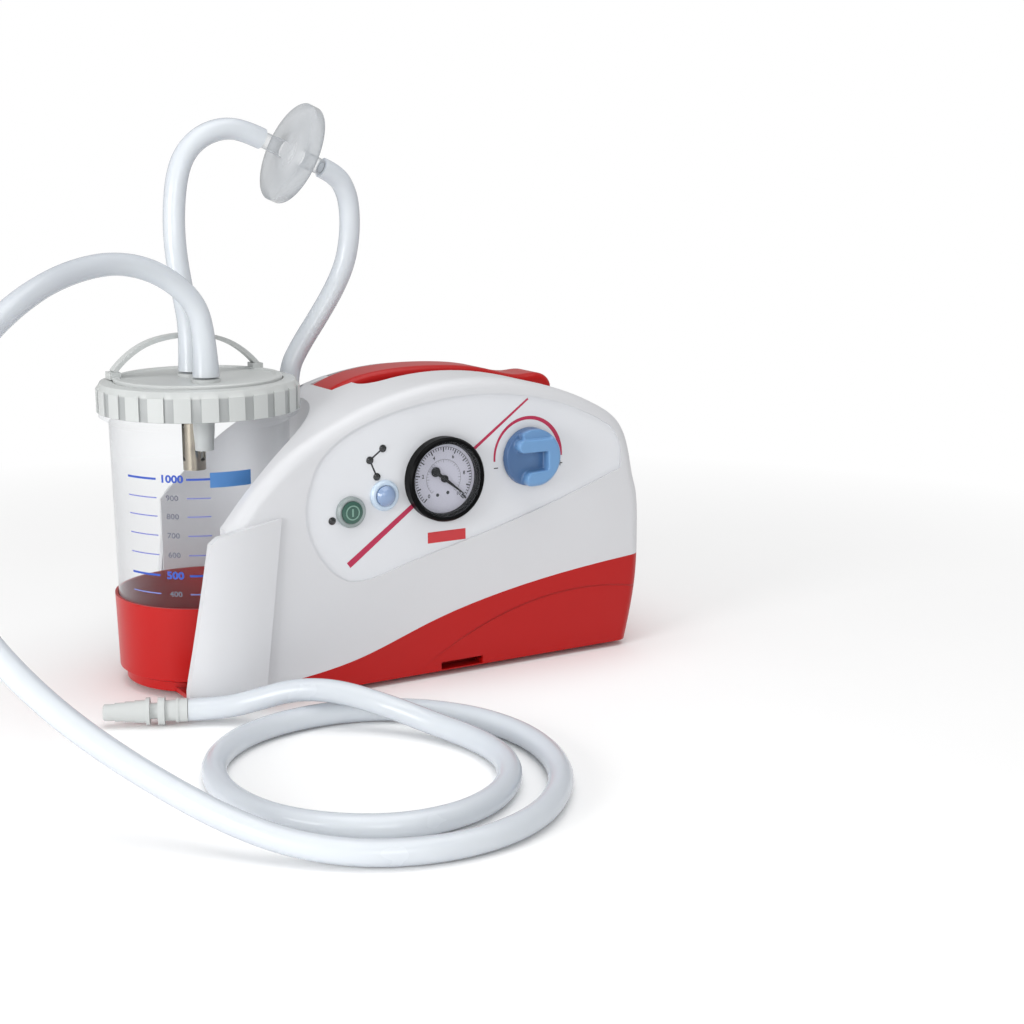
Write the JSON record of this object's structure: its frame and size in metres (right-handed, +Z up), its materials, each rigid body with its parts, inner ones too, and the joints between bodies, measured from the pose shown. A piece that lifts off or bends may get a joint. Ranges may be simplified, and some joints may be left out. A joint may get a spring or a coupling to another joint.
{
  "type": "vacuum aspirator",
  "caption": "Portable vacuum aspirator with a jar and screw lid, gauge, regulator knob, push buttons, carry grip and silicone hoses with a filter.",
  "frame": {"origin": "middle of the object's footprint without its hoses, on the surface it stands on", "axes": "+X from the jar towards the closed end, -Y the control panel, +Z up"},
  "size_m": [0.5076, 0.4542, 0.3728],
  "materials": {
    "white_plastic": "fine moulded texture",
    "red_plastic": "fine moulded texture",
    "grey_plastic": "satin",
    "clear_plastic": "clear, moulded",
    "black_plastic": "satin",
    "dial_face": "printed",
    "silicone": "translucent, smooth",
    "blue_plastic": "satin",
    "green_plastic": "gloss",
    "ring_grey": "satin",
    "ring_blue": "translucent",
    "lamp_black": "gloss",
    "overlay_film": "fine film",
    "steel": "ground",
    "brass": "turned",
    "dark_rubber": "matt",
    "cast_alloy": "cast",
    "board_green": "coated"
  },
  "bodies": {
    "root": {"upper_cover": "white_plastic", "lower_base": "red_plastic", "carry_grip": "red_plastic", "panel_overlay": "overlay_film", "gauge_case": "black_plastic", "gauge_dial": "dial_face", "gauge_window": "clear_plastic", "gauge_movement": "brass", "power_button_ring": "ring_grey", "push_button_ring": "ring_blue", "indicator_lamps": "lamp_black", "regulator_valve": "brass", "inlet_barb": "grey_plastic", "rubber_feet": "dark_rubber", "power_inlet": "black_plastic", "motor_case": "steel", "motor_cradle": "dark_rubber", "pump_housing": "cast_alloy", "pump_head": "cast_alloy", "board_posts": "white_plastic", "circuit_board": "board_green", "transformer": "cast_alloy"},
    "gauge_needle": {"gauge_needle": "black_plastic"},
    "power_button": {"power_button": "green_plastic"},
    "push_button": {"push_button": "blue_plastic"},
    "regulator": {"regulator_stem": "steel", "vacuum_knob": "blue_plastic"},
    "motor_rotor": {"motor_shaft": "steel", "cooling_fan": "black_plastic"},
    "jar": {"collection_jar": "clear_plastic"},
    "lid": {"lid_disc": "grey_plastic", "lid_gasket": "silicone", "lid_handle": "grey_plastic", "float_cage": "steel", "suction_hose": "silicone", "filter_hose": "silicone", "return_hose": "silicone", "filter_disc": "clear_plastic", "hose_connector": "grey_plastic"},
    "lid_ring": {"lid_ring": "grey_plastic"},
    "float": {"float": "grey_plastic"}
  },
  "joints": [
    {"name": "needle_swing", "type": "hinge", "parent": "root", "child": "gauge_needle", "pos_m": [0.0195, -0.08596, 0.1338], "axis": [0, -1, 0], "range_deg": [0, 265]},
    {"name": "power_press", "type": "slide", "parent": "root", "child": "power_button", "axis": [0, 1, 0], "range_m": [0, 0.002], "stiffness_N_per_m": 600},
    {"name": "push_press", "type": "slide", "parent": "root", "child": "push_button", "axis": [0, 1, 0], "range_m": [0, 0.002], "stiffness_N_per_m": 500},
    {"name": "vacuum_turn", "type": "hinge", "parent": "root", "child": "regulator", "pos_m": [0.0845, -0.08596, 0.1426], "axis": [0, -1, 0], "range_deg": [-135, 135]},
    {"name": "motor_spin", "type": "hinge", "parent": "root", "child": "motor_rotor", "pos_m": [0.1, 0.04404, 0.052], "axis": [0, 1, 0], "continuous": true},
    {"name": "jar_lift", "type": "slide", "parent": "root", "child": "jar", "axis": [0, 0, 1], "range_m": [0, 0.12]},
    {"name": "lid_lift", "type": "slide", "parent": "jar", "child": "lid", "axis": [0, 0, 1], "range_m": [0, 0.075]},
    {"name": "ring_unscrew", "type": "hinge", "parent": "lid", "child": "lid_ring", "pos_m": [-0.113, 0.00404, 0.188], "axis": [0, 0, 1], "range_deg": [0, 90]},
    {"name": "float_rise", "type": "slide", "parent": "lid", "child": "float", "axis": [0, 0, 1], "range_m": [0, 0.012]}
  ]
}
